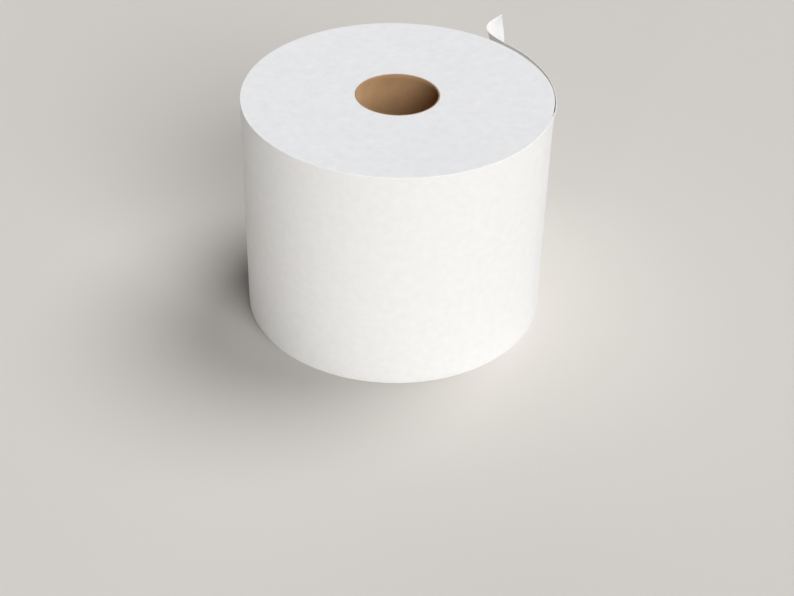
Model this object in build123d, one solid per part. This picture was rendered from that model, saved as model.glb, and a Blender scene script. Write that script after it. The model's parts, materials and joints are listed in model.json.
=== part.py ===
from build123d import *
import math
import os

# A roll of soft white paper, standing on its end. One web is wound round a card
# core, and its loose end lifts off the roll and curls outward.
# Millimetres: the core's axis is Z and the lower end is at zero. Angles run
# counter-clockwise from +X, seen from above, which is the way the web is wound.

# Wound web
roll_diameter = 141.0
roll_width = 110.0
sheet_thickness = 0.3

# Card core
core_bore = 37.1
core_wall = 0.45

# Loose end: the angle where it leaves the roll, the gap that it lifts by, and the slit
# that this gap narrows to at its root
lap_start_angle = -22.0
lap_gap = 0.85
lap_slit = 0.15

# Bends of the loose end: one round the roll that is slacker than the turns, then three outward.
# Each run is the length of sheet in that bend
slack = 3.8
slack_run = 68.6
flare_radius = 58.0
flare_run = 11.95
curl_radius = 12.6
curl_run = 13.52
tip_radius = 48.0
tip_run = 10.0

# Line of the turns on each end, where one turn stands for some fifteen sheets
turn_pitch = 7.0
turn_line_width = 0.6
turn_line_depth = 0.3

roll_radius = roll_diameter / 2
core_radius = core_bore / 2 + core_wall
lap_radius = roll_radius - sheet_thickness - lap_slit


def polar(radius, angle):
    """A point at a radius and an angle about the core's axis."""
    return Vector(radius, 0).rotate(Axis.Z, angle)


def winding(first_radius, growth, turns):
    """Half circles that wind out from where the loose end starts, by growth in each turn."""
    shift = growth / 4
    arcs = []
    for half_turn in range(2 * turns):
        facing = lap_start_angle + 180 * half_turn
        radius = first_radius + shift + growth * half_turn / 2
        arcs.append(CenterArc(polar(-shift, facing), radius, facing, 180))
    return arcs


def loose_end_side(offset):
    """One face of the loose end, at an offset outward from the middle of its sheet."""
    middle = roll_radius - sheet_thickness / 2
    # A straight run and a bend of half the roll's radius lift the sheet by the gap
    lift_run = math.sqrt(lap_gap * (middle + lap_gap))
    lift_turn = math.degrees(math.atan2(lift_run, middle / 2))
    slack_radius = middle + lap_gap + slack
    bends = [(middle / 2, lift_turn), (slack_radius, math.degrees(slack_run / slack_radius))]
    for radius, run in ((flare_radius, flare_run), (curl_radius, curl_run), (tip_radius, tip_run)):
        bends.append((radius, -math.degrees(run / radius)))
    start = polar(middle + offset, lap_start_angle)
    side = [Line(start, start + polar(lift_run, lap_start_angle + 90))]
    for radius, turn in bends:
        side_radius = radius + math.copysign(1, turn) * offset
        side.append(JernArc(side[-1] @ 1, side[-1] % 1, side_radius, turn))
    return side


def wound_paper():
    """The whole web as one solid: its turns, and the loose end that leaves them."""
    outer_turn = winding(lap_radius, roll_radius - lap_radius, 1)
    outside = loose_end_side(sheet_thickness / 2)
    inside = loose_end_side(-sheet_thickness / 2)
    tip = Line(outside[-1] @ 1, inside[-1] @ 1)
    root = Line(inside[0] @ 0, outer_turn[0] @ 0)
    section = make_face([*outer_turn, *outside, tip, *inside, root]) - Circle(core_radius)
    roll = extrude(section, amount=roll_width)

    turns = int((lap_radius - core_radius) / turn_pitch) - 1
    line_radius = core_radius + turn_pitch / 2
    near = winding(line_radius - turn_line_width / 2, turn_pitch, turns)
    far = winding(line_radius + turn_line_width / 2, turn_pitch, turns)
    ends = [Line(near[0] @ 0, far[0] @ 0), Line(near[-1] @ 1, far[-1] @ 1)]
    turn_lines = extrude(make_face([*near, *far, *ends]), amount=turn_line_depth, both=True)
    return roll - turn_lines - Pos(0, 0, roll_width) * turn_lines


def core_tube():
    """The card tube that the web is wound on, flush with both ends."""
    return extrude(Circle(core_radius) - Circle(core_bore / 2), amount=roll_width)


os.makedirs("parts", exist_ok=True)
for make_piece in (wound_paper, core_tube):
    export_step(make_piece(), f"parts/{make_piece.__name__}.step")
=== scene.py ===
import json
import math

import bpy
import numpy as np
from bpy.props import FloatProperty, FloatVectorProperty, PointerProperty
from mathutils import Matrix, Vector, noise


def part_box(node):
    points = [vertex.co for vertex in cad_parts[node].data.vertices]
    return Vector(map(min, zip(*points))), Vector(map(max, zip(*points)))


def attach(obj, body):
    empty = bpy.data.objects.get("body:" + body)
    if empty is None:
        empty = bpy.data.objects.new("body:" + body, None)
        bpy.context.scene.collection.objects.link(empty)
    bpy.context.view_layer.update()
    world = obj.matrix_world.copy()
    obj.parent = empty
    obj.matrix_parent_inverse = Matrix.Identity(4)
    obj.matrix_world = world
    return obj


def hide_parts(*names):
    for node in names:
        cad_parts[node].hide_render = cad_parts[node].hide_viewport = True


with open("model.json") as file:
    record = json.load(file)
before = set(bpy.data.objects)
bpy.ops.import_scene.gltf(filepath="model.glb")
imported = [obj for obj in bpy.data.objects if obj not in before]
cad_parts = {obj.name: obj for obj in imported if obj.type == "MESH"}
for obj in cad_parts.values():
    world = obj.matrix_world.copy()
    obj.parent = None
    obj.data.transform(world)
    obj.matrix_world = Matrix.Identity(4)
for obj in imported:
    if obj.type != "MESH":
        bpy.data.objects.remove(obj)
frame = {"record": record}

bl_info = {
    "name": "Paper Roll",
    "version": (1, 0, 0),
    "blender": (4, 5, 0),
    "location": "3D View > Sidebar > Paper Roll",
    "description": "Winds a white paper roll with a curled loose end on a card core, and sets its stage",
    "category": "Add Mesh",
}

MM = 0.001
FULL_TURN = 2 * math.pi
QUARTER_TURN = math.pi / 2

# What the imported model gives: its box, its core and the bore's radius
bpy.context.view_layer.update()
CORE_LOW, CORE_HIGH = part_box("core_tube")
MOUNTS = {mount["name"]: mount for mount in frame["record"]["mounts"]}
BORE_RADIUS = MOUNTS["core_bore"]["dims"]["r_mm"] * MM

# How far the card core and the hole in the paper keep from where the two solids meet
CORE_CLEARANCE = 0.04 * MM
HOLE_CLEARANCE = 0.15 * MM

# Fineness of the meshes
TURN_COLUMNS = 112
SIDE_ROWS = 74
ROW_BIAS = 1.35
RIM_STEPS = 3
LOOSE_STEP = 0.5 * MM
LAP_STRIDE = 4
EASE_STEPS = 7
CORE_COLUMNS = 120
CORE_ROWS = 56
SHARP_ANGLE = math.radians(50)

# Bends of the loose end that follow the roll, before those that lead outward
LAP_BENDS = 3

# Columns across the core's seam as shares of its width, and how far each is sunk as a share of its depth
SEAM_WIDTH_SHARES = (-0.5, -0.25, 0.25, 0.5)
SEAM_DEPTH_SHARES = (0.0, 1.0, 1.0, 0.0)

# Places in the lists of finishes of the wound paper and of the core
OUTSIDE, EDGES = 0, 1
CARD = 0

# Shader values: detail and roughness of the noise, the cut share of a perforation, dry surfaces
FIBRE_GROUP = "paper_fibres"
CLOUD_NOISE = {"Detail": 4.0, "Roughness": 0.6}
FIBRE_NOISE = {"Detail": 3.0, "Roughness": 0.55}
CUT_SHARE = 2 / 3
MATTE = {"Roughness": 0.95, "Diffuse Roughness": 0.6, "Specular IOR Level": 0.2}
CHALKY = {"Roughness": 1.0, "Specular IOR Level": 0.0}

# Numbers of a Mix node's colour sockets
MIX_FIRST, MIX_SECOND, MIX_RESULT = 6, 7, 2

# Lamps of the stage, as their settings name them, and the camera's sensor in millimetres
LAMPS = ("key", "fill", "back", "rear")
SENSOR_WIDTH = 36.0

# Properties that the panel leaves out
HIDDEN_PROPERTIES = ("rna_type", "name")


def length(name, description, default):
    """A length in metres."""
    return FloatProperty(
        name=name, description=description, default=default, min=0.0, precision=5, unit="LENGTH"
    )


def angle(name, description, degrees):
    """An angle, given here in degrees."""
    return FloatProperty(
        name=name, description=description, default=math.radians(degrees), subtype="ANGLE"
    )


def factor(name, description, default):
    """A share from none to all."""
    return FloatProperty(
        name=name, description=description, default=default, min=0.0, max=1.0, subtype="FACTOR"
    )


def level(name, description, default):
    """The light on a surface that faces a lamp, in watts per square metre."""
    return FloatProperty(name=name, description=description, default=default, min=0.0, precision=3)


def colour(name, description, default):
    """A linear colour."""
    return FloatVectorProperty(
        name=name, description=description, default=default, min=0.0, max=1.0, size=3, subtype="COLOR"
    )


class WebSizes(bpy.types.PropertyGroup):
    """Sizes of the wound web and its loose end."""

    roll_radius: length("Roll Radius", "Over the last turn, where the loose end leaves it", 70.5 * MM)
    roll_width: length("Roll Width", "Height of the standing roll", CORE_HIGH.z - CORE_LOW.z)
    hole_radius: length("Hole Radius", "Hole round the card core", CORE_HIGH.x + HOLE_CLEARANCE)
    sheet_thickness: length("Sheet Thickness", "One soft sheet of several plies", 0.3 * MM)
    lap_start: angle("Lap Start", "Where the loose end leaves the roll, from +X", -22.0)
    lap_slit: length("Lap Slit", "Opening at the root of the loose end", 0.04 * MM)
    lap_gap: length("Lap Gap", "How far the loose end lifts off the roll", 0.85 * MM)
    slack: length("Slack", "How much wider than the roll the loose end's own round is", 3.8 * MM)
    slack_run: length("Slack Run", "Sheet in the loose end's own round", 68.6 * MM)
    flare_radius: length("Flare Radius", "First outward bend of the loose end", 58 * MM)
    flare_run: length("Flare Run", "Sheet in the first outward bend", 11.95 * MM)
    curl_radius: length("Curl Radius", "Second and tightest outward bend", 12.6 * MM)
    curl_run: length("Curl Run", "Sheet in the tightest bend", 13.52 * MM)
    tip_radius: length("Tip Radius", "Last outward bend, up to the torn edge", 48 * MM)
    tip_run: length("Tip Run", "Sheet in the last bend", 10.4 * MM)
    root_turn: angle("Root Turn", "How far the root of the loose end still lies on the roll", 5.0)
    root_fade: angle("Root Fade", "Turn in which the root then lifts off", 11.0)
    peel_depth: length("Peel Depth", "Depth below the upper rim in which the lift falls back", 4 * MM)
    hold_turn: angle("Hold Turn", "How far the sheet lies on the roll below the upper rim", 45.0)
    hold_fade: angle("Hold Fade", "Turn in which it then comes away from the roll", 25.0)
    early_bend: length("Early Bend", "How much sooner it bends out well below the upper rim", 4.5 * MM)
    early_depth: length("Early Depth", "Depth below the upper rim that this takes", 8 * MM)
    curl_loss: angle("Curl Loss", "How much weaker its curl is well below the upper rim", 18.0)
    curl_depth: length("Curl Depth", "Depth below the upper rim that this takes", 5.5 * MM)
    wave_depth: length("Wave Depth", "Depth below the upper rim where its curl comes back", 18 * MM)
    wave_fade: length("Wave Fade", "Height that this takes", 45 * MM)
    flutter: length("Flutter", "Waviness of the loose end at its torn edge", 0.6 * MM)
    flutter_size: length("Flutter Size", "Length of the loose end's waves", 35 * MM)
    nick_depth: length("Nick Depth", "How ragged the torn edge is", 0.2 * MM)
    nick_size: length("Nick Size", "Length of a nick along the torn edge", 1.2 * MM)
    bulge: length("Bulge", "How far the turn under it stands out at the upper rim", 0.55 * MM)
    bulge_span: angle("Bulge Span", "Turn over which it stands out", 56.0)
    bulge_depth: length("Bulge Depth", "Depth below the upper rim in which it falls back", 6 * MM)
    swell: length("Swell", "Unevenness of the roll's face", 0.12 * MM)
    swell_size: length("Swell Size", "Width of the roll's soft bumps", 26 * MM)
    rim_radius: length("Rim Radius", "Soft rounding of a cut sheet", 0.1 * MM)
    edge_relief: length("Edge Relief", "How far single turns sink below the end of the roll", 0.05 * MM)
    edge_relief_size: length("Edge Relief Size", "Length over which a turn sinks and rises", 9 * MM)
    edge_groove: length("Edge Groove", "Depth of the groove between two turns", 0.011 * MM)


class CoreSizes(bpy.types.PropertyGroup):
    """Sizes of the spiral-wound card core."""

    bore_radius: length("Bore Radius", "Inside of the core", BORE_RADIUS)
    outer_radius: length("Outer Radius", "Outside of the core", CORE_HIGH.x - CORE_CLEARANCE)
    height: length("Height", "Length of the core", CORE_HIGH.z - CORE_LOW.z)
    recess: length("Recess", "How far the cut ends lie below the ends of the roll", 0.06 * MM)
    ply_width: length("Ply Width", "Width of the card strip that is wound into the tube", 72 * MM)
    seam_width: length("Seam Width", "Opening between two turns of the inner strip", 0.35 * MM)
    seam_depth: length("Seam Depth", "Thickness of the inner strip", 0.16 * MM)
    seam_start: angle("Seam Start", "Where the seam meets the lower end, from +X", 150.0)


class PaperFinish(bpy.types.PropertyGroup):
    """Finish of the white paper."""

    # Both paper colours hold the paper's own white plus faint painted light: the face's slight warmth is
    # painted warm light on the sides, and the cut edges' slight coolness is painted cool light from
    # above on the ends.
    outside: colour("Outside", "Face of the sheet", (0.87, 0.87, 0.865))
    edges: colour("Edges", "Cut edges of the turns on both ends", (0.87, 0.875, 0.89))
    glow: factor("Glow", "Share of the light that spreads inside the soft sheet", 1.0)
    glow_reach: length("Glow Reach", "How far it spreads", 0.5 * MM)
    glow_tint: colour("Glow Tint", "Share of the reach for red, green and blue light", (1.0, 0.93, 0.87))
    mottle_size: length("Mottle Size", "Width of the faint clouds in the sheet", 4 * MM)
    mottle: factor("Mottle", "How much darker the clouds are", 0.11)
    edge_mottle: factor("Edge Mottle", "How much darker they are on the cut edges", 0.15)
    crepe_pitch: length("Crepe Pitch", "Distance between the fine creases of the sheet", 0.35 * MM)
    crepe_length: length("Crepe Length", "Length of a crease along the roll", 2.5 * MM)
    crepe_height: length("Crepe Height", "Height of a crease", 0.03 * MM)
    sheet_length: length("Sheet Length", "Distance between two perforations", 120 * MM)
    perforation_pitch: length("Perforation Pitch", "Distance between two of its cuts", 2.4 * MM)
    perforation_width: length("Perforation Width", "Width of a perforation's cuts", 0.16 * MM)


class CardFinish(bpy.types.PropertyGroup):
    """Finish of the brown card core."""

    card: colour("Card", "Brown card of the core", (0.55, 0.345, 0.185))
    fleck: colour("Fleck", "Dark fibres in the card", (0.31, 0.19, 0.10))
    mottle_size: length("Mottle Size", "Width of the clouds in the card", 7 * MM)
    fibre_length: length("Fibre Length", "Length of a fibre along the strip", 3 * MM)
    fibre_width: length("Fibre Width", "Width of a fibre", 0.3 * MM)
    fibre_height: length("Fibre Height", "Height of a fibre", 0.03 * MM)


class StageSettings(bpy.types.PropertyGroup):
    """Floor, lamps and camera."""

    floor: colour("Floor", "Plain pale floor", (0.66, 0.635, 0.60))
    floor_radius: length("Floor Radius", "Half the width of the floor", 6.0)
    backdrop: colour("Backdrop", "Pale surroundings beyond the floor", (0.63, 0.61, 0.57))
    sky: colour("Sky", "Soft light from all round", (0.96, 0.98, 1.0))
    sky_strength: FloatProperty(
        name="Sky Strength", description="Level of the light from all round", default=0.01, min=0.0
    )
    lamp_distance: length("Lamp Distance", "From the roll to where each lamp stands", 3.0)
    key_level: level("Key Level", "Main lamp, in front to the right", 2.14)
    key_azimuth: angle("Key Azimuth", "Main lamp's turn to the right of the view", 28.5)
    key_elevation: angle("Key Elevation", "Main lamp's height above the floor", 30.0)
    key_spread: angle("Key Spread", "Width of the main lamp, seen from the roll", 40.0)
    key_colour: colour("Key Colour", "Main lamp's light", (1.0, 1.0, 1.0))
    fill_level: level("Fill Level", "Low lamp in front to the left", 0.82)
    fill_azimuth: angle("Fill Azimuth", "Low lamp's turn to the right of the view", -20.0)
    fill_elevation: angle("Fill Elevation", "Low lamp's height above the floor", 2.0)
    fill_spread: angle("Fill Spread", "Width of the low lamp, seen from the roll", 4.0)
    fill_colour: colour("Fill Colour", "Low lamp's light", (1.0, 0.97, 0.95))
    back_level: level("Back Level", "High lamp on the right, behind the roll", 2.0)
    back_azimuth: angle("Back Azimuth", "High lamp's turn to the right of the view", 120.0)
    back_elevation: angle("Back Elevation", "High lamp's height above the floor", 60.0)
    back_spread: angle("Back Spread", "Width of the high lamp, seen from the roll", 37.0)
    back_colour: colour("Back Colour", "High lamp's light", (1.0, 1.0, 1.0))
    rear_level: level("Rear Level", "Weak lamp behind the roll, to the left", 0.35)
    rear_azimuth: angle("Rear Azimuth", "Weak lamp's turn to the right of the view", -165.0)
    rear_elevation: angle("Rear Elevation", "Weak lamp's height above the floor", 20.0)
    rear_spread: angle("Rear Spread", "Width of the weak lamp, seen from the roll", 37.0)
    rear_colour: colour("Rear Colour", "Weak lamp's light", (1.0, 1.0, 1.0))
    camera_place: FloatVectorProperty(
        name="Camera Place",
        description="Where the camera stands",
        default=(2.04 * MM, -604.64 * MM, 446.69 * MM),
        unit="LENGTH",
        subtype="TRANSLATION",
    )
    camera_pitch: angle("Camera Pitch", "How far the camera looks down", 36.706)
    camera_roll: angle("Camera Roll", "Turn of the camera about its own view", 1.392)
    camera_lens: FloatProperty(
        name="Camera Lens", description="Focal length on a 36 mm sensor", default=69.31, unit="CAMERA"
    )


class RollSettings(bpy.types.PropertyGroup):
    """All settings of the roll and its stage."""

    web: PointerProperty(type=WebSizes, name="Web", description="Wound web and loose end")
    core: PointerProperty(type=CoreSizes, name="Core", description="Card core")
    paper: PointerProperty(type=PaperFinish, name="Paper", description="Finish of the paper")
    card: PointerProperty(type=CardFinish, name="Card", description="Finish of the card")
    stage: PointerProperty(type=StageSettings, name="Stage", description="Floor, lamps and camera")


# Mesh helpers


def polar(radius, turn):
    """Points in plan at a radius and an angle about the core's axis."""
    return np.stack([radius * np.cos(turn), radius * np.sin(turn)], axis=-1)


def smooth_step(value):
    """Rises from 0 to 1 with level ends."""
    value = np.clip(value, 0.0, 1.0)
    return value * value * (3 - 2 * value)


def as_share(value):
    """Moves a value from between -1 and 1 to between 0 and 1."""
    return 0.5 + 0.5 * value


def noise_at(points):
    """Smooth noise from -1 to 1 at each point of an array of (x, y, z)."""
    flat = points.reshape(-1, 3)
    return np.array([noise.noise(Vector(point)) for point in flat]).reshape(points.shape[:-1])


def grid_quads(grid):
    """Corners of the quads in a grid of vertex numbers, one row of the grid above another."""
    corners = [grid[:-1, :-1], grid[:-1, 1:], grid[1:, 1:], grid[1:, :-1]]
    return np.stack(corners, axis=-1).reshape(-1, 4)


class Shell:
    """Vertices and faces of one closed piece, while it is put together."""

    def __init__(self):
        self.points, self.strip, self.faces, self.finishes = [], [], [], []

    def add_points(self, points, strip):
        """Adds points, each with its place on the unwound strip, and gives their numbers."""
        first = sum(len(block) for block in self.points)
        self.points.append(points.reshape(-1, 3))
        self.strip.append(strip.reshape(-1, 3))
        return np.arange(first, first + points.size // 3).reshape(points.shape[:-1])

    def add_faces(self, faces, finish, flip=False):
        """Adds faces of one finish, turned over if flip is set."""
        rows = [list(map(int, face)) for face in faces]
        self.faces += [row[::-1] for row in rows] if flip else rows
        self.finishes += [finish] * len(rows)

    def make(self, name, materials):
        """Makes the piece, with the unwound strip kept as an attribute for its materials."""
        mesh = bpy.data.meshes.new(name)
        mesh.from_pydata(np.concatenate(self.points).tolist(), [], self.faces)
        strip = mesh.attributes.new("strip", "FLOAT_VECTOR", "POINT")
        strip.data.foreach_set("vector", np.concatenate(self.strip).astype(np.float32).ravel())
        for material in materials:
            mesh.materials.append(material)
        mesh.polygons.foreach_set("material_index", self.finishes)
        mesh.shade_smooth()
        mesh.set_sharp_from_angle(angle=SHARP_ANGLE)
        piece = bpy.data.objects.new(name, mesh)
        bpy.context.scene.collection.objects.link(piece)
        return piece


# The wound web


def roll_face(web, turn):
    """Radius of the roll's face at an angle past the lap's start, which grows by a sheet in one turn."""
    lap_radius = web.roll_radius - web.sheet_thickness - web.lap_slit
    return lap_radius + (web.roll_radius - lap_radius) * turn / FULL_TURN


def face_radius(web, turns, heights):
    """Radius of the uneven face of the roll, for a row of angles at each height."""
    places = np.empty((len(heights), len(turns), 3))
    places[..., :2] = polar(web.roll_radius, web.lap_start + turns)
    places[..., 2] = heights[:, None]
    swell = web.swell * noise_at(places / web.swell_size)
    window = np.sin(math.pi * np.clip(turns / web.bulge_span, 0.0, 1.0)) ** 2
    fade = np.exp((heights - web.roll_width) / web.bulge_depth)
    return roll_face(web, turns) + swell + web.bulge * fade[:, None] * window


def side_rows(web):
    """Heights of the mesh rows, and how far the soft rims draw in at each."""
    bend = np.linspace(0, QUARTER_TURN, RIM_STEPS + 1)
    rim = web.rim_radius * (1 - np.cos(bend))
    draw_in = web.rim_radius * (1 - np.sin(bend))
    depth = np.linspace(1, 0, SIDE_ROWS)[1:-1] ** ROW_BIAS
    middle = web.roll_width - rim[-1] - (web.roll_width - 2 * rim[-1]) * depth
    heights = np.concatenate([rim, middle, web.roll_width - rim[::-1]])
    insets = np.concatenate([draw_in, np.zeros(len(middle)), draw_in[::-1]])
    return heights, insets


def loose_end_bends(web, depth):
    """Bends of the loose end at a depth below the upper rim, each as its run of sheet and its turn."""
    middle = web.roll_radius - web.sheet_thickness / 2
    lift_radius = middle / 2
    lift_run = math.sqrt(web.lap_gap * (middle + web.lap_gap))
    lift_turn = math.atan2(lift_run, lift_radius)
    wave = 1 - smooth_step((depth - web.wave_depth) / web.wave_fade)
    sooner = web.early_bend * math.tanh(depth / web.early_depth) * wave
    weaker = web.curl_loss * math.tanh(depth / web.curl_depth) * wave
    slack_run = web.slack_run - sooner
    tip_run = web.tip_run + sooner
    return (
        (lift_run, 0.0),
        (lift_turn * lift_radius, lift_turn),
        (slack_run, slack_run / (middle + web.lap_gap + web.slack)),
        (web.flare_run, -web.flare_run / web.flare_radius),
        (web.curl_run, -web.curl_run / web.curl_radius + weaker),
        (tip_run, -tip_run / web.tip_radius),
    )


def loose_end_line(web, height):
    """Middle line of the loose end at one height: points, outward directions, distances along it."""
    depth = web.roll_width - height
    bends = loose_end_bends(web, depth)
    counts = [max(1, round(run / LOOSE_STEP)) for run, _ in loose_end_bends(web, 0.0)]
    steps = np.concatenate([np.full(count, run / count) for (run, _), count in zip(bends, counts)])
    turns = np.concatenate([np.full(count, turn / count) for (_, turn), count in zip(bends, counts)])
    window = np.hanning(EASE_STEPS + 2)[1:-1]
    padded = np.pad(turns, EASE_STEPS // 2, mode="edge")
    turns = np.convolve(padded, window / window.sum(), mode="valid")
    headings = web.lap_start + QUARTER_TURN + np.concatenate([[0.0], np.cumsum(turns)])
    distances = np.concatenate([[0.0], np.cumsum(steps)])
    nick = noise.noise(Vector((height / web.nick_size, 0.0, 0.0)))
    steps[-1] -= web.nick_depth * as_share(nick)
    strides = steps[:, None] * polar(1.0, (headings[1:] + headings[:-1]) / 2)
    middle = polar(web.roll_radius - web.sheet_thickness / 2, web.lap_start)
    points = middle + np.concatenate([np.zeros((1, 2)), np.cumsum(strides, axis=0)])

    lap_count = sum(counts[:LAP_BENDS])
    lap_columns = np.arange(0, lap_count, LAP_STRIDE)
    columns = np.concatenate([lap_columns, np.arange(lap_count, len(points))])
    points, distances = points[columns], distances[columns]
    outward = polar(1.0, headings[columns] - QUARTER_TURN)

    radius = np.hypot(points[:, 0], points[:, 1])
    turn = np.arctan2(points[:, 1], points[:, 0]) - web.lap_start
    lying = face_radius(web, turn, np.array([height]))[0] + web.lap_slit + web.sheet_thickness / 2
    root = 1 - smooth_step((turn - web.root_turn) / web.root_fade)
    below = 1 - smooth_step((turn - web.hold_turn) / web.hold_fade)
    hold = np.maximum(root, below * (1 - math.exp(-depth / web.peel_depth)))
    points *= (1 + (lying - radius) * hold / radius)[:, None]

    free_run = sum(run for run, _ in bends[LAP_BENDS:])
    free = np.clip((distances - distances[-1]) / free_run + 1, 0.0, 1.0)
    places = np.zeros((len(distances), 3))
    places[:, 0] = distances
    places[:, 1] = height
    points += outward * (web.flutter * free**2 * noise_at(places / web.flutter_size))[:, None]
    return points, outward, distances


def wind_side(shell, web):
    """Adds the roll's face and both faces of its loose end, and gives their vertex numbers."""
    heights, insets = side_rows(web)
    rows = len(heights)
    turns = np.linspace(0, FULL_TURN, TURN_COLUMNS + 1)
    radius = face_radius(web, turns, heights) - insets[:, None]
    turn_points = np.empty((rows, len(turns), 3))
    turn_points[..., :2] = polar(radius, web.lap_start + turns)
    turn_points[..., 2] = heights[:, None]
    turn_strip = np.zeros_like(turn_points)
    turn_strip[..., 0] = web.roll_radius * (turns - FULL_TURN)
    turn_strip[..., 1] = heights[:, None]

    lines = [loose_end_line(web, height) for height in heights]
    middle, outward = (np.array([line[part] for line in lines]) for part in (0, 1))
    half = (web.sheet_thickness / 2 - insets)[:, None, None]
    faces = np.empty((2, rows, middle.shape[1], 3))
    faces[0, ..., :2] = middle + half * outward
    faces[1, ..., :2] = middle - half * outward
    faces[..., 2] = heights[:, None]
    strip = np.zeros_like(faces)
    strip[..., 0] = [line[2] for line in lines]
    strip[..., 1] = heights[:, None]

    turn_ids = shell.add_points(turn_points, turn_strip)
    outer_ids = shell.add_points(faces[0, :, 1:], strip[0, :, 1:])
    inner_ids = shell.add_points(faces[1], strip[1])
    outer_ids = np.concatenate([turn_ids[:, -1:], outer_ids], axis=1)
    loop = np.concatenate([turn_ids, outer_ids[:, 1:], inner_ids[:, ::-1], turn_ids[:, :1]], axis=1)
    shell.add_faces(grid_quads(loop), OUTSIDE)
    return turn_ids, outer_ids, inner_ids


def wind_end(shell, web, row, rim_ids, outer_ids, inner_ids):
    """Adds one end of the roll: its turns, each with a groove beside it, and the loose end's edge."""
    upper = row != 0
    end_height = web.roll_width if upper else 0.0
    sink = -1 if upper else 1
    face_start = roll_face(web, 0)
    growth_guess = web.roll_radius - face_start
    turns = round((face_start - web.hole_radius) / growth_guess)
    growth = (face_start - web.hole_radius) / turns
    count = turns * TURN_COLUMNS

    def edge_points(first, last, shift, groove):
        """Points along the turns, from one column to another, each turn sunk by its own amount."""
        column = np.arange(first, last)
        turn = column / TURN_COLUMNS
        radius = web.hole_radius + growth * (turn + shift)
        plan = polar(radius, web.lap_start + FULL_TURN * turn)
        places = np.concatenate([plan / web.edge_relief_size, turn[:, None]], axis=1)
        depth = groove + web.edge_relief * as_share(noise_at(places))
        points = np.concatenate([plan, end_height + sink * depth[:, None]], axis=1)
        along = FULL_TURN * radius * turn
        strip = np.stack([along, np.full_like(turn, end_height), turn + shift], axis=1)
        return shell.add_points(points, strip)

    hole_turn = np.arange(TURN_COLUMNS) / TURN_COLUMNS
    hole_plan = polar(np.full(TURN_COLUMNS, web.hole_radius), web.lap_start + FULL_TURN * hole_turn)
    hole = np.concatenate([hole_plan, np.full((TURN_COLUMNS, 1), end_height)], axis=1)
    hole_ids = shell.add_points(hole, np.zeros_like(hole))
    ridge_ids = np.concatenate([hole_ids[:1], edge_points(1, count, 0.0, 0.0), rim_ids[row]])
    groove_ids = np.append(edge_points(0, count, 0.5, web.edge_groove), inner_ids[row, 0])

    near, far = ridge_ids[: count + 1], ridge_ids[TURN_COLUMNS:]
    for inside, outside in ((near, groove_ids), (groove_ids, far)):
        band = np.stack([inside[:-1], outside[:-1], outside[1:], inside[1:]], axis=-1)
        shell.add_faces(band, EDGES, flip=not upper)
    last = TURN_COLUMNS - 1
    hem = [hole_ids[1:last], ridge_ids[1:last], ridge_ids[2 : last + 1], hole_ids[2:]]
    shell.add_faces(np.stack(hem, axis=-1), EDGES, flip=not upper)
    first_corner = [hole_ids[0], ridge_ids[1], hole_ids[1]]
    last_corner = [hole_ids[last], ridge_ids[last], ridge_ids[last + 1], groove_ids[0], hole_ids[0]]
    shell.add_faces([first_corner, last_corner], EDGES, flip=not upper)
    loose = np.stack([outer_ids[row], inner_ids[row]])
    shell.add_faces(grid_quads(loose), EDGES, flip=not upper)
    return hole_ids


def wind_web(web, materials):
    """The whole web as one closed piece, in place of its plain solid."""
    shell = Shell()
    turn_ids, outer_ids, inner_ids = wind_side(shell, web)
    last_row = len(turn_ids) - 1
    holes = [wind_end(shell, web, row, turn_ids, outer_ids, inner_ids) for row in (0, last_row)]
    bore = np.stack([np.append(hole, hole[0]) for hole in holes])
    shell.add_faces(grid_quads(bore), EDGES, flip=True)
    return shell.make("wound_paper_web", materials)


# The card core


def wind_core(core, materials):
    """The card tube, whose inner strip leaves a seam that climbs round the bore."""
    around = FULL_TURN * core.bore_radius
    climb = core.ply_width / math.sqrt(1 - (core.ply_width / around) ** 2)
    seam = core.seam_width / core.bore_radius
    plain = np.linspace(seam, FULL_TURN - seam, CORE_COLUMNS)
    columns = np.concatenate([seam * np.array(SEAM_WIDTH_SHARES), plain])
    sunk = np.concatenate([SEAM_DEPTH_SHARES, np.zeros(CORE_COLUMNS)])
    heights = np.linspace(core.recess, core.height - core.recess, CORE_ROWS)
    turn = core.seam_start + columns + FULL_TURN * heights[:, None] / climb

    def wall(radius):
        """A grid of points at a radius for each column, with its place on the unwound strip."""
        points = np.empty((*turn.shape, 3))
        points[..., :2] = polar(radius * np.ones_like(turn), turn)
        points[..., 2] = heights[:, None]
        strip = np.zeros_like(points)
        slope = math.atan2(climb, around)
        along, up = core.bore_radius * turn, np.broadcast_to(heights[:, None], turn.shape)
        strip[..., 0] = along * math.cos(slope) + up * math.sin(slope)
        strip[..., 1] = up * math.cos(slope) - along * math.sin(slope)
        return points, strip

    shell = Shell()
    inner = shell.add_points(*wall(core.bore_radius + core.seam_depth * sunk))
    outer = shell.add_points(*wall(core.outer_radius))
    inner, outer = (np.concatenate([ids, ids[:, :1]], axis=1) for ids in (inner, outer))
    shell.add_faces(grid_quads(inner), CARD, flip=True)
    shell.add_faces(grid_quads(outer), CARD)
    shell.add_faces(grid_quads(np.stack([outer[-1], inner[-1]])), CARD)
    shell.add_faces(grid_quads(np.stack([outer[0], inner[0]])), CARD, flip=True)
    return shell.make("card_core", materials)


# Materials


def add_node(tree, kind, inputs=None, **settings):
    """Adds a node, sets it up, and links or sets each of its named or numbered inputs."""
    node = tree.nodes.new(kind)
    for name, value in settings.items():
        setattr(node, name, value)
    for name, value in (inputs or {}).items():
        if isinstance(value, bpy.types.NodeSocket):
            tree.links.new(value, node.inputs[name])
        else:
            node.inputs[name].default_value = value
    return node


def maths(tree, operation, first, second=0.0):
    """The output of a maths node on two values."""
    return add_node(tree, "ShaderNodeMath", {0: first, 1: second}, operation=operation).outputs[0]


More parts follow.
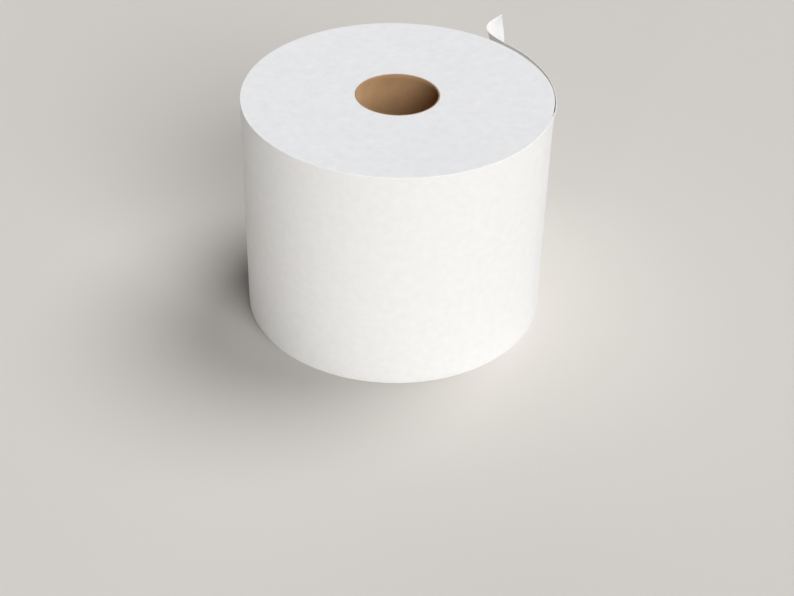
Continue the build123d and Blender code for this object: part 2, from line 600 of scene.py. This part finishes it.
def noise_texture(tree, place, scale, quality):
    """The output of a noise texture, from 0 to 1."""
    inputs = {"Vector": place, "Scale": scale, **quality}
    return add_node(tree, "ShaderNodeTexNoise", inputs).outputs["Fac"]


def fibre_group():
    """Shared effect: the faint clouds and the short fibres of a paper surface, both from 0 to 1."""
    known = bpy.data.node_groups.get(FIBRE_GROUP)
    if known:
        return known
    group = bpy.data.node_groups.new(FIBRE_GROUP, "ShaderNodeTree")
    for name, kind in (("Vector", "Vector"), ("Mottle Size", "Float"), ("Fibre Size", "Vector")):
        group.interface.new_socket(name, in_out="INPUT", socket_type=f"NodeSocket{kind}")
    for name in ("Mottle", "Fibres"):
        group.interface.new_socket(name, in_out="OUTPUT", socket_type="NodeSocketFloat")
    given = add_node(group, "NodeGroupInput").outputs
    scale = maths(group, "DIVIDE", 1.0, given["Mottle Size"])
    clouds = noise_texture(group, given["Vector"], scale, CLOUD_NOISE)
    sizes = {0: given["Vector"], 1: given["Fibre Size"]}
    drawn = add_node(group, "ShaderNodeVectorMath", sizes, operation="DIVIDE")
    fibres = noise_texture(group, drawn.outputs[0], 1.0, FIBRE_NOISE)
    add_node(group, "NodeGroupOutput", {"Mottle": clouds, "Fibres": fibres})
    return group


def fibre_marks(tree, place, mottle_size, fibre_size):
    """The outputs of the shared effect at a place, with a finish's own sizes."""
    inputs = {"Vector": place, "Mottle Size": mottle_size, "Fibre Size": fibre_size}
    return add_node(tree, "ShaderNodeGroup", inputs, node_tree=fibre_group()).outputs


def new_material(name):
    """An empty material with its shader and output."""
    material = bpy.data.materials.new(name)
    material.use_nodes = True
    tree = material.node_tree
    return material, tree, tree.nodes["Principled BSDF"]


def strip_place(tree):
    """The place on the unwound strip: along it, across it, and the number of the turn."""
    return add_node(tree, "ShaderNodeAttribute", attribute_name="strip").outputs["Vector"]


def blended(tree, share, first, second):
    """A colour that goes from the first to the second as the share rises from 0 to 1."""
    mix = add_node(tree, "ShaderNodeMix", {"Factor": share}, data_type="RGBA")
    mix.inputs[MIX_FIRST].default_value = (*first, 1.0)
    mix.inputs[MIX_SECOND].default_value = (*second, 1.0)
    return mix.outputs[MIX_RESULT]


def shaded(tree, tone, darker, share):
    """A colour that falls by a share of itself where darker is 1."""
    return blended(tree, darker, tone, [channel * (1 - share) for channel in tone])


def emboss(tree, shader, height, distance):
    """Raises the surface, in its shading alone, by a distance where the height is 1."""
    inputs = {"Height": height, "Distance": distance, "Strength": 1.0}
    bump = add_node(tree, "ShaderNodeBump", inputs)
    tree.links.new(bump.outputs["Normal"], shader.inputs["Normal"])


def set_inputs(shader, values):
    """Sets named inputs of a shader."""
    for name, value in values.items():
        shader.inputs[name].default_value = value


def set_soft(shader, paper):
    """A thin sheet that lets light spread inside it and through it."""
    values = {
        "Subsurface Weight": paper.glow,
        "Subsurface Radius": paper.glow_tint,
        "Subsurface Scale": paper.glow_reach,
    }
    set_inputs(shader, values)


def perforation(tree, paper, place, free_edge):
    """A mask of the small cuts that part one sheet from the next, counted from the torn edge."""
    split = add_node(tree, "ShaderNodeSeparateXYZ", {0: place})
    back = maths(tree, "SUBTRACT", free_edge, split.outputs["X"])
    away = maths(tree, "PINGPONG", back, paper.sheet_length / 2)
    on_line = maths(tree, "LESS_THAN", away, paper.perforation_width / 2)
    sheet_along = maths(tree, "PINGPONG", split.outputs["Y"], paper.perforation_pitch / 2)
    on_cut = maths(tree, "LESS_THAN", sheet_along, CUT_SHARE * paper.perforation_pitch / 2)
    return maths(tree, "MULTIPLY", on_line, on_cut)


def outside_material(paper, free_edge):
    """Face of the soft sheet: fine creases along the roll, faint clouds and perforations."""
    material, tree, shader = new_material("tissue_outside")
    place = strip_place(tree)
    creases = (paper.crepe_pitch, paper.crepe_length, 1.0)
    marks = fibre_marks(tree, place, paper.mottle_size, creases)
    # The outside colour includes a faint warm tint of painted light.
    tone = shaded(tree, paper.outside, marks["Mottle"], paper.mottle)
    tree.links.new(tone, shader.inputs["Base Color"])
    cuts = perforation(tree, paper, place, free_edge)
    emboss(tree, shader, maths(tree, "SUBTRACT", marks["Fibres"], cuts), paper.crepe_height)
    set_inputs(shader, MATTE)
    set_soft(shader, paper)
    return material


def edges_material(paper):
    """Cut edges of the turns: faint clouds and a fine grain."""
    material, tree, shader = new_material("tissue_edges")
    place = add_node(tree, "ShaderNodeTexCoord").outputs["Object"]
    marks = fibre_marks(tree, place, paper.mottle_size, [paper.crepe_pitch] * 3)
    # The edges colour includes a faint cool tint of painted light from above.
    tone = shaded(tree, paper.edges, marks["Mottle"], paper.edge_mottle)
    tree.links.new(tone, shader.inputs["Base Color"])
    emboss(tree, shader, marks["Fibres"], paper.crepe_height)
    set_inputs(shader, MATTE)
    set_soft(shader, paper)
    return material


def card_material(card):
    """Brown card: clouds, and dark fibres that lie along the wound strip."""
    material, tree, shader = new_material("kraft_card")
    fibre_size = (card.fibre_length, card.fibre_width, 1.0)
    marks = fibre_marks(tree, strip_place(tree), card.mottle_size, fibre_size)
    darker = maths(tree, "MULTIPLY", marks["Mottle"], marks["Fibres"])
    tree.links.new(blended(tree, darker, card.card, card.fleck), shader.inputs["Base Color"])
    emboss(tree, shader, marks["Fibres"], card.fibre_height)
    set_inputs(shader, MATTE)
    return material


# The stage


def add_floor(stage):
    """A plain pale floor, wide enough to reach past every view."""
    mesh = bpy.data.meshes.new("floor")
    reach = stage.floor_radius
    corners = [(x * reach, y * reach, 0.0) for x, y in ((-1, -1), (1, -1), (1, 1), (-1, 1))]
    mesh.from_pydata(corners, [], [(0, 1, 2, 3)])
    material, _, shader = new_material("pale_floor")
    set_inputs(shader, {"Base Color": (*stage.floor, 1.0), **CHALKY})
    mesh.materials.append(material)
    floor = bpy.data.objects.new("floor", mesh)
    bpy.context.scene.collection.objects.link(floor)


def add_sky(stage):
    """Even light from all round; the camera sees a pale backdrop in its place."""
    world = bpy.data.worlds.new("studio")
    world.use_nodes = True
    tree = world.node_tree
    tree.nodes.clear()
    path = add_node(tree, "ShaderNodeLightPath")
    inputs = {0: path.outputs["Is Camera Ray"]}
    for place, tone, strength in ((1, stage.sky, stage.sky_strength), (2, stage.backdrop, 1.0)):
        light = add_node(tree, "ShaderNodeBackground", {"Color": (*tone, 1.0), "Strength": strength})
        inputs[place] = light.outputs[0]
    mix = add_node(tree, "ShaderNodeMixShader", inputs)
    add_node(tree, "ShaderNodeOutputWorld", {"Surface": mix.outputs[0]})
    bpy.context.scene.world = world


def add_lamp(stage, name, target):
    """A soft far lamp that faces the target, turned by its azimuth to the right of the view along +Y."""
    lamp = bpy.data.lights.new(name, "SUN")
    lamp.angle = getattr(stage, f"{name}_spread")
    lamp.energy = getattr(stage, f"{name}_level")
    lamp.color = getattr(stage, f"{name}_colour")
    azimuth, elevation = getattr(stage, f"{name}_azimuth"), getattr(stage, f"{name}_elevation")
    flat = math.cos(elevation)
    away = Vector((math.sin(azimuth) * flat, -math.cos(azimuth) * flat, math.sin(elevation)))
    holder = bpy.data.objects.new(name, lamp)
    holder.location = target + away * stage.lamp_distance
    holder.rotation_euler = away.to_track_quat("Z", "Y").to_euler()
    holder.visible_camera = False
    bpy.context.scene.collection.objects.link(holder)


def add_camera(stage):
    """The camera, looking along +Y and down, with a small roll."""
    lens = bpy.data.cameras.new("camera")
    lens.sensor_width = SENSOR_WIDTH
    lens.lens = stage.camera_lens
    camera = bpy.data.objects.new("camera", lens)
    tilt = Matrix.Rotation(QUARTER_TURN - stage.camera_pitch, 4, "X")
    look = tilt @ Matrix.Rotation(stage.camera_roll, 4, "Z")
    camera.matrix_world = Matrix.Translation(stage.camera_place) @ look
    bpy.context.scene.collection.objects.link(camera)
    bpy.context.scene.camera = camera


# Operators and panel


class ROLL_OT_card_core(bpy.types.Operator):
    """Wind the brown card core in place of its plain solid"""

    bl_idname = "roll.card_core"
    bl_label = "Card Core"

    def execute(self, context):
        settings = context.scene.paper_roll
        piece = wind_core(settings.core, [card_material(settings.card)])
        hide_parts("core_tube")
        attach(piece, "root")
        return {"FINISHED"}


class ROLL_OT_wound_paper(bpy.types.Operator):
    """Wind the white web and curl its loose end in place of its plain solid"""

    bl_idname = "roll.wound_paper"
    bl_label = "Wound Paper"

    def execute(self, context):
        settings = context.scene.paper_roll
        web = settings.web
        _, _, distances = loose_end_line(web, web.roll_width)
        outside = outside_material(settings.paper, float(distances[-1]))
        piece = wind_web(web, [outside, edges_material(settings.paper)])
        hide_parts("wound_paper")
        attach(piece, "root")
        return {"FINISHED"}


class ROLL_OT_stage(bpy.types.Operator):
    """Set the pale floor, the soft lamps and the camera"""

    bl_idname = "roll.stage"
    bl_label = "Stage"

    def execute(self, context):
        stage = context.scene.paper_roll.stage
        target = Vector((0.0, 0.0, context.scene.paper_roll.web.roll_width / 2))
        add_floor(stage)
        add_sky(stage)
        for name in LAMPS:
            add_lamp(stage, name, target)
        add_camera(stage)
        context.scene.view_settings.view_transform = "Standard"
        return {"FINISHED"}


class VIEW3D_PT_paper_roll(bpy.types.Panel):
    """Sizes, finishes and stage of the paper roll"""

    bl_label = "Paper Roll"
    bl_space_type = "VIEW_3D"
    bl_region_type = "UI"
    bl_category = "Paper Roll"

    def draw(self, context):
        settings = context.scene.paper_roll
        for title, group, operator in (
            ("Web", settings.web, ROLL_OT_wound_paper),
            ("Core", settings.core, ROLL_OT_card_core),
            ("Paper", settings.paper, None),
            ("Card", settings.card, None),
            ("Stage", settings.stage, ROLL_OT_stage),
        ):
            box = self.layout.box()
            box.label(text=title)
            for name in group.bl_rna.properties.keys():
                if name not in HIDDEN_PROPERTIES:
                    box.prop(group, name)
            if operator:
                box.operator(operator.bl_idname)


CLASSES = (
    WebSizes,
    CoreSizes,
    PaperFinish,
    CardFinish,
    StageSettings,
    RollSettings,
    ROLL_OT_card_core,
    ROLL_OT_wound_paper,
    ROLL_OT_stage,
    VIEW3D_PT_paper_roll,
)


def register():
    """Adds the classes and the scene's settings."""
    for kind in CLASSES:
        bpy.utils.register_class(kind)
    bpy.types.Scene.paper_roll = PointerProperty(type=RollSettings)


def unregister():
    """Takes away the scene's settings and the classes."""
    del bpy.types.Scene.paper_roll
    for kind in reversed(CLASSES):
        bpy.utils.unregister_class(kind)


def main():
    """Builds the roll and its stage."""
    register()
    bpy.ops.roll.card_core()
    bpy.ops.roll.wound_paper()
    bpy.ops.roll.stage()
    bpy.context.view_layer.update()


if __name__ == "__main__":
    main()
